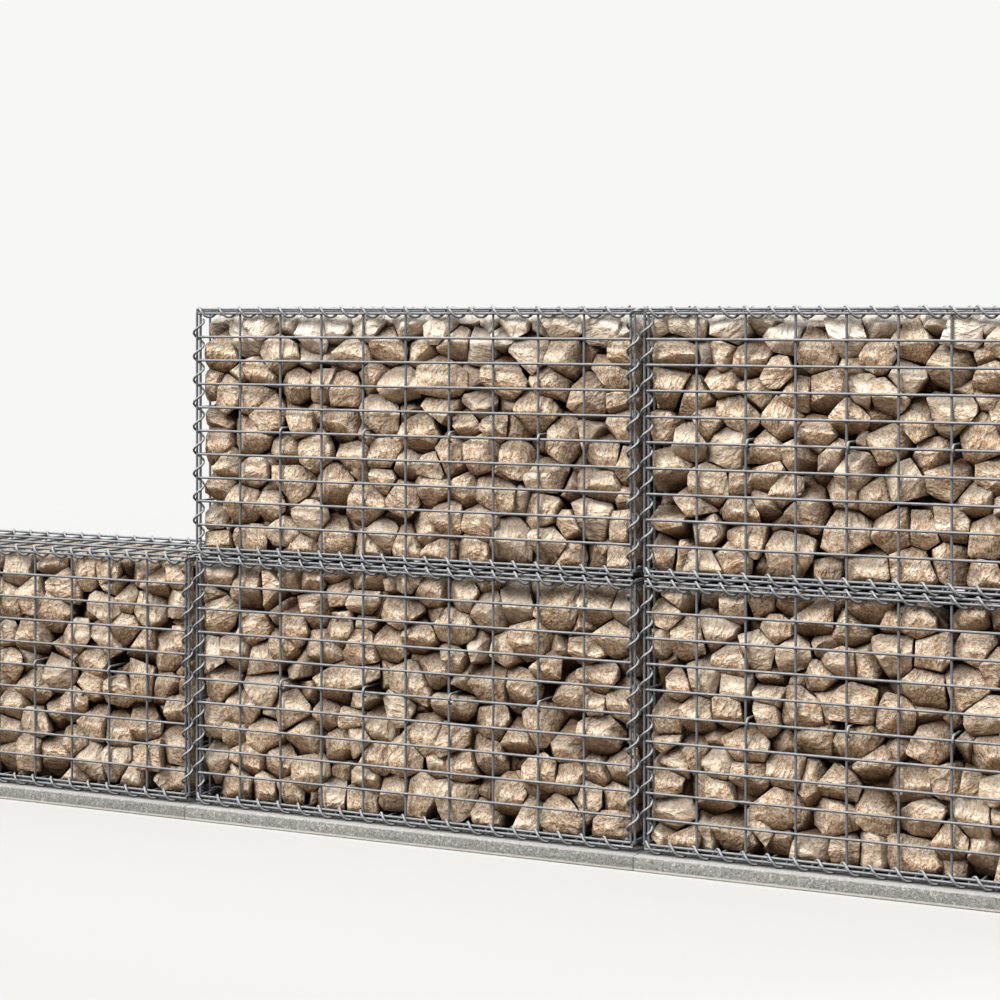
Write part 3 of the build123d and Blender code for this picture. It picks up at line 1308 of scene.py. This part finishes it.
@dataclass
class Basket:
    """One welded-wire basket: its panels, twelve binders, four ties and its stone.

    Attributes:
        name: The basket's name, as in its nodes' names.
        seed: The seed of its stone.
        finishes: The wall's materials.
        face_uprights: Gaps between the uprights of the front and back.
        upright_sink: How much those sink into the level wires.
        face_rails: Gaps between their level wires.
        end_uprights: Gaps between the ends' uprights.
        end_rails: Gaps between their level wires.
        lid_cross: Gaps between the lid's wires from front to back.
        lid_long: Gaps between its long wires.
        ties: How many cross ties it has.
        base_rise: How far the bottom binders' axes are above the base's long wires.
        base_start: Where the front's bottom binder starts, in gaps from the first cross wire.
        left_start: Where the left corner's binder starts, in gaps above the lowest level wire.
        right_start: Where the right corner's binder starts, in the same way.
        lid_end_start: Where the right end's top binder starts, in gaps from its first upright.
        base_end_start: Where the right end's bottom binder starts, in the same way.
    """

    name: str
    seed: int
    finishes: Finishes
    face_uprights: int = 10
    upright_sink: float = 1.0 * MILLIMETRE
    face_rails: int = 10
    end_uprights: int = 6
    end_rails: int = 5
    lid_cross: int = 20
    lid_long: int = 3
    ties: int = 4
    base_rise: float = 3.95 * MILLIMETRE
    base_start: float = -0.08
    left_start: float = 0.08
    right_start: float = -0.02
    lid_end_start: float = -0.23
    base_end_start: float = 0.14

    def __post_init__(self) -> None:
        """Reads the basket's sizes from its nodes."""
        self.front_low, self.front_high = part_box(f"{self.name}_front_mesh")
        self.back_low, self.back_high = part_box(f"{self.name}_back_mesh")
        self.lid_low, self.lid_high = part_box(f"{self.name}_lid_mesh")
        self.base_low, self.base_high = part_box(f"{self.name}_base_mesh")
        self.ends_low, self.ends_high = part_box(f"{self.name}_end_meshes")
        self.wire = (self.front_high.y - self.front_low.y) / 2
        self.middle = (self.front_low + self.back_high) / 2
        self.cross_ties = CrossTies(*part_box(f"{self.name}_ties"), self.ties)

    def face_rows(self) -> tuple[WireRow, WireRow]:
        """The rows of the front and back: uprights inside, level wires outside."""
        return (
            WireRow(Axis.UP, self.face_uprights, outer=False, sink=self.upright_sink),
            WireRow(Axis.ALONG, self.face_rails, outer=True),
        )

    def end_rows(self) -> tuple[WireRow, WireRow]:
        """The rows of an end: level wires inside, uprights outside."""
        return (
            WireRow(Axis.THROUGH, self.end_rails, outer=False),
            WireRow(Axis.UP, self.end_uprights, outer=True),
        )

    def flat_rows(self) -> tuple[WireRow, WireRow]:
        """The rows of the lid and base: cross wires inside, long wires outside."""
        return (
            WireRow(Axis.THROUGH, self.lid_cross, outer=False),
            WireRow(Axis.ALONG, self.lid_long, outer=True),
        )

    def build_panels(self) -> None:
        """Makes the front, back, lid, base and end panels."""
        single = (
            ("front_mesh", self.front_low, self.front_high, Axis.THROUGH, Side.LOW, self.face_rows()),
            ("back_mesh", self.back_low, self.back_high, Axis.THROUGH, Side.HIGH, self.face_rows()),
            ("lid_mesh", self.lid_low, self.lid_high, Axis.UP, Side.HIGH, self.flat_rows()),
            ("base_mesh", self.base_low, self.base_high, Axis.UP, Side.LOW, self.flat_rows()),
        )
        for label, low, high, normal, side, rows in single:
            shape = bmesh.new()
            WeldedPanel(low, high, normal, side, rows, self.wire).add_to(shape)
            self.finish_wires(label, shape)
        shape = bmesh.new()
        low, high = self.ends_low, self.ends_high
        for side in Side:
            WeldedPanel(low, high, Axis.ALONG, side, self.end_rows(), self.wire).add_to(shape)
        self.finish_wires("end_meshes", shape)

    def finish_wires(self, label: str, shape: bmesh.types.BMesh) -> None:
        """Shades a panel and makes it a piece in place of its node.

        Args:
            label: The panel's node, without the basket's name.
            shape: The panel's shape.
        """
        smooth_sides(shape, sharpest=radians(60))
        name = f"{self.name}_{label}_wires"
        finished_piece(name, shape, self.finishes.mesh_wire, [f"{self.name}_{label}"])

    def binder_places(self) -> list[tuple[BinderKind, Matrix]]:
        """Where the six binders of the front and the right end go.

        A half turn about the basket's middle gives the other six.

        Returns:
            Each binder's kind and its matrix.
        """
        right, back, up = [axis.vector for axis in Axis]
        half_wire = self.wire / 2
        face_y = self.front_low.y + half_wire
        corner_y = face_y + self.wire
        right_x = self.lid_high.x - half_wire
        left_x = 2 * self.middle.x - right_x
        first_x = self.front_low.x + half_wire
        first_y = self.ends_low.y + half_wire
        floor_z = self.front_low.z + half_wire
        hang = BINDER_RADIUS - BINDER_WIRE / 2 - half_wire
        lid_z = self.lid_high.z - half_wire - hang
        base_z = self.base_low.z + half_wire + self.base_rise
        rail_gap = (self.front_high.z - self.front_low.z - self.wire) / self.face_rails
        cross_gap = (self.front_high.x - self.front_low.x - self.wire) / self.lid_cross
        end_gap = (self.ends_high.y - self.ends_low.y - self.wire) / self.end_uprights
        lid_front = Vector((first_x, face_y, lid_z))
        base_front = Vector((first_x + self.base_start * cross_gap, face_y, base_z))
        left_corner = Vector((left_x, corner_y, floor_z + self.left_start * rail_gap))
        right_corner = Vector((right_x, corner_y, floor_z + self.right_start * rail_gap))
        lid_end = Vector((right_x, first_y + self.lid_end_start * end_gap, lid_z - self.wire))
        base_end = Vector((right_x, first_y + self.base_end_start * end_gap, base_z))
        return [
            (BinderKind.FACE, edge_frame(lid_front, up, right)),
            (BinderKind.FACE, edge_frame(base_front, up, right)),
            (BinderKind.CORNER, edge_frame(left_corner, -right, up)),
            (BinderKind.CORNER, edge_frame(right_corner, right, up)),
            (BinderKind.END, edge_frame(lid_end, up, back)),
            (BinderKind.END, edge_frame(base_end, -up, back)),
        ]

    def build_binders(self, templates: dict[BinderKind, bpy.types.Mesh]) -> None:
        """Laces the panels together along all twelve edges.

        Args:
            templates: The spiral of each kind.
        """
        shape = bmesh.new()
        about = Matrix.Translation((self.middle.x, self.middle.y, 0.0))
        half_turn = about @ Matrix.Rotation(pi, 4, "Z") @ about.inverted()
        for kind, place in self.binder_places():
            for matrix in (place, half_turn @ place):
                known = set(shape.verts)
                shape.from_mesh(templates[kind])
                added = [vert for vert in shape.verts if vert not in known]
                bmesh.ops.transform(shape, matrix=matrix, verts=added)
        smooth_sides(shape, sharpest=radians(75))
        name = f"{self.name}_binder_spirals"
        finished_piece(name, shape, self.finishes.binder_wire, [f"{self.name}_binders"])

    def build_ties(self) -> None:
        """Hooks the cross ties in."""
        shape = bmesh.new()
        self.cross_ties.add_to(shape)
        smooth_sides(shape, sharpest=radians(60))
        name = f"{self.name}_tie_rods"
        finished_piece(name, shape, self.finishes.binder_wire, [f"{self.name}_ties"])

    def build_stone(self) -> None:
        """Fills the basket."""
        low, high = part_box(f"{self.name}_stone_fill")
        fill = StoneFill(low, high, self.seed, "upper" in self.name, self.cross_ties)
        fill.build(f"{self.name}_stones", self.finishes.stone, [f"{self.name}_stone_fill"])


@dataclass
class Kerb:
    """The blocks of the concrete kerb.

    Attributes:
        nodes: The blocks' nodes.
        finishes: The wall's materials.
        arris: The width of the worn edge.
    """

    nodes: tuple[str, ...]
    finishes: Finishes
    arris: float = 3.0 * MILLIMETRE

    def build(self) -> None:
        """Makes each block with worn arrises, in place of its node."""
        for node in self.nodes:
            low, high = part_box(node)
            shape = bmesh.new()
            place = Matrix.Translation((low + high) / 2) @ Matrix.Diagonal((*(high - low), 1.0))
            bmesh.ops.create_cube(shape, size=1.0, matrix=place)
            bmesh.ops.bevel(
                shape,
                geom=shape.edges[:],
                offset=self.arris,
                offset_type="OFFSET",
                segments=2,
                profile=0.5,
                affect="EDGES",
                material=-1,
            )
            smooth_sides(shape, sharpest=radians(50))
            finished_piece(f"{node}_block", shape, self.finishes.concrete, [node])


@dataclass
class Studio:
    """The plain pale floor, the soft light and the camera at the photograph's angle.

    Attributes:
        floor_radius: How far the floor reaches.
        floor_clear: Where it starts to fade and where it is gone, as shares of that.
        background: The colour of the world behind the wall.
        floor_colour: The colour of the floor.
        floor_bounce: The colour that it lights the wall with.
        sky: The colour of the world's light.
        lamp_colour: The colour of the key and the strip lamp.
        camera_place: Where the camera is.
        camera_turn: How far it is turned to the left.
        lens: Its focal length in millimetres.
        shift_up: How far its frame is shifted up, in widths of the frame.
    """

    floor_radius: float = 9.0
    floor_clear: Range = (0.35, 0.98)
    background: Colour = (0.93, 0.93, 0.92, 1.0)
    floor_colour: Colour = (0.57, 0.578, 0.59, 1.0)
    floor_bounce: Colour = (0.21, 0.175, 0.14, 1.0)
    sky: Colour = (1.0, 0.985, 0.96, 1.0)
    lamp_colour: tuple[float, float, float] = (1.0, 0.97, 0.93)
    camera_place: tuple[float, float, float] = (2.3421, -4.3879, 1.0761)
    camera_turn: float = radians(26.65)
    lens: float = 85.35
    shift_up: float = -0.186

    def build(self) -> None:
        """Sets the whole studio up."""
        self.build_world()
        self.build_floor()
        self.build_light()
        self.build_camera()
        bpy.context.scene.view_settings.view_transform = "Standard"

    def build_world(self) -> None:
        """A soft light that is stronger from above, and nearly white where the camera sees it."""
        world = bpy.data.worlds.new("studio")
        world.use_nodes = True
        world.node_tree.nodes.clear()
        sketch = NodeSketch(world.node_tree)
        path = sketch.add("ShaderNodeLightPath")
        seen = sketch.math("MAXIMUM", path.outputs["Is Camera Ray"], path.outputs["Is Glossy Ray"])
        seen = sketch.math("MAXIMUM", seen, path.outputs["Is Transmission Ray"])
        direction = sketch.add("ShaderNodeTexCoord").outputs["Generated"]
        height = sketch.add("ShaderNodeSeparateXYZ", {"Vector": direction}).outputs["Z"]
        strength = sketch.spread(height, low=-0.1, high=0.9, start=0.14, end=0.55)
        soft = sketch.add("ShaderNodeBackground", {"Color": self.sky, "Strength": strength})
        shown = sketch.add("ShaderNodeBackground", {"Color": self.background, "Strength": 1.0})
        inputs = {0: seen, 1: soft.outputs["Background"], 2: shown.outputs["Background"]}
        mix = sketch.add("ShaderNodeMixShader", inputs)
        sketch.add("ShaderNodeOutputWorld", {"Surface": mix.outputs["Shader"]})
        bpy.context.scene.world = world

    def build_floor(self) -> None:
        """A pale disc that fades out towards its rim."""
        shape = bmesh.new()
        bmesh.ops.create_circle(shape, cap_ends=True, segments=96, radius=self.floor_radius)
        mesh = bpy.data.meshes.new("studio_floor")
        shape.to_mesh(mesh)
        shape.free()
        mesh.materials.append(self.floor_material())
        floor = bpy.data.objects.new("studio_floor", mesh)
        bpy.context.scene.collection.objects.link(floor)

    def floor_material(self) -> bpy.types.Material:
        """A matt pale floor, see-through at its rim.

        Returns:
            The material.
        """
        material, sketch = new_material("studio_floor")
        place = sketch.add("ShaderNodeTexCoord").outputs["Object"]
        distance = sketch.add("ShaderNodeVectorMath", {0: place}, operation="LENGTH").outputs["Value"]
        fade = sketch.spread(distance, *[share * self.floor_radius for share in self.floor_clear])
        bounced = sketch.add("ShaderNodeLightPath").outputs["Is Diffuse Ray"]
        colour = sketch.blend(bounced, self.floor_colour, self.floor_bounce)
        matt = sketch.add("ShaderNodeBsdfDiffuse", {"Color": colour})
        clear = sketch.add("ShaderNodeBsdfTransparent")
        inputs = {0: fade, 1: matt.outputs["BSDF"], 2: clear.outputs["BSDF"]}
        mix = sketch.add("ShaderNodeMixShader", inputs)
        sketch.add("ShaderNodeOutputMaterial", {"Surface": mix.outputs["Shader"]})
        return material

    def build_light(self) -> None:
        """A soft key from the upper left, a fill for the back and a strip for the upper baskets."""
        key = bpy.data.lights.new("key", "SUN")
        key.energy = 4.6
        key.angle = radians(38)
        key.color = self.lamp_colour
        self.place_lamp(key, towards=Vector((0.42, 0.85, -0.9)))
        fill = bpy.data.lights.new("fill", "SUN")
        fill.energy = 1.7
        fill.angle = radians(60)
        self.place_lamp(fill, towards=Vector((-0.35, -0.95, -0.22)))
        strip = bpy.data.lights.new("strip", "AREA")
        strip.shape = "RECTANGLE"
        strip.size = 3.6
        strip.size_y = 0.5
        strip.energy = 14.0
        strip.color = self.lamp_colour
        self.place_lamp(strip, towards=Vector((0.0, 1.0, -1.0)), spot=Vector((0.3, -1.1, 1.95)))

    @staticmethod
    def place_lamp(lamp: bpy.types.Light, towards: Vector, spot: Vector | None = None) -> None:
        """Puts a lamp in the scene, out of the camera's sight.

        Args:
            lamp: The lamp.
            towards: The direction that it shines in.
            spot: Where it is, if that matters.
        """
        holder = bpy.data.objects.new(lamp.name, lamp)
        holder.location = spot or Vector()
        holder.rotation_euler = towards.to_track_quat("-Z", "Y").to_euler()
        holder.visible_camera = False
        bpy.context.scene.collection.objects.link(holder)

    def build_camera(self) -> None:
        """A level camera whose frame is shifted down to the wall."""
        lens = bpy.data.cameras.new("camera")
        lens.lens = self.lens
        lens.sensor_width = 36.0
        lens.shift_y = self.shift_up
        lens.clip_end = 100.0
        camera = bpy.data.objects.new("camera", lens)
        camera.location = self.camera_place
        camera.rotation_euler = (radians(90), 0.0, self.camera_turn)
        bpy.context.scene.collection.objects.link(camera)
        bpy.context.scene.camera = camera


def make_finishes(kerb_corner: Vector) -> Finishes:
    """Makes the wall's materials.

    Args:
        kerb_corner: The upper back corner of a kerb block.

    Returns:
        The materials.
    """
    mottle = mottle_group()
    pitting = pitting_group()
    return Finishes(
        mesh_wire=GalvanisedSteel(
            "panel_zinc",
            bright=(0.33, 0.345, 0.37, 1.0),
            dull=(0.2, 0.21, 0.232, 1.0),
            shine=(0.34, 0.48),
        ).build(mottle),
        binder_wire=GalvanisedSteel(
            "binder_zinc",
            bright=(0.44, 0.455, 0.48, 1.0),
            dull=(0.28, 0.29, 0.31, 1.0),
            shine=(0.28, 0.4),
        ).build(mottle),
        stone=BrokenStone(
            "broken_limestone",
            cream=(0.88, 0.785, 0.665, 1.0),
            beige=(0.71, 0.5, 0.32, 1.0),
            brown=(0.28, 0.135, 0.05, 1.0),
            painted_sun=(0.98, 0.9, 0.8, 1.0),
            upper_shade_tint=(0.64, 0.68, 0.72, 1.0),
            underside_shade_tint=(0.62, 0.49, 0.37, 1.0),
            pits_and_deep_shade=(0.055, 0.022, 0.007, 1.0),
        ).build(mottle, pitting),
        concrete=CastConcrete(
            "kerb_concrete",
            matrix=(0.25, 0.255, 0.25, 1.0),
            dark_grain=(0.06, 0.063, 0.062, 1.0),
            pale_grain=(0.62, 0.615, 0.6, 1.0),
            top_height=kerb_corner.z,
            half_depth=kerb_corner.y,
        ).build(mottle, pitting),
    )


def main() -> None:
    """Builds the wall piece by piece, and then the studio."""
    logging.basicConfig(level=logging.INFO, format="%(message)s")
    _, kerb_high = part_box("kerb_middle")
    finishes = make_finishes(kerb_high)
    templates = {kind: SpiralBinder(*kind.value).template() for kind in BinderKind}
    names = ("lower_left", "lower_middle", "lower_right", "upper_middle", "upper_right")
    for seed, name in enumerate(names):
        basket = Basket(name, seed, finishes)
        basket.build_panels()
        basket.build_binders(templates)
        basket.build_ties()
        basket.build_stone()
    Kerb(("kerb_left", "kerb_middle", "kerb_right"), finishes).build()
    Studio().build()


if __name__ == "__main__":
    main()
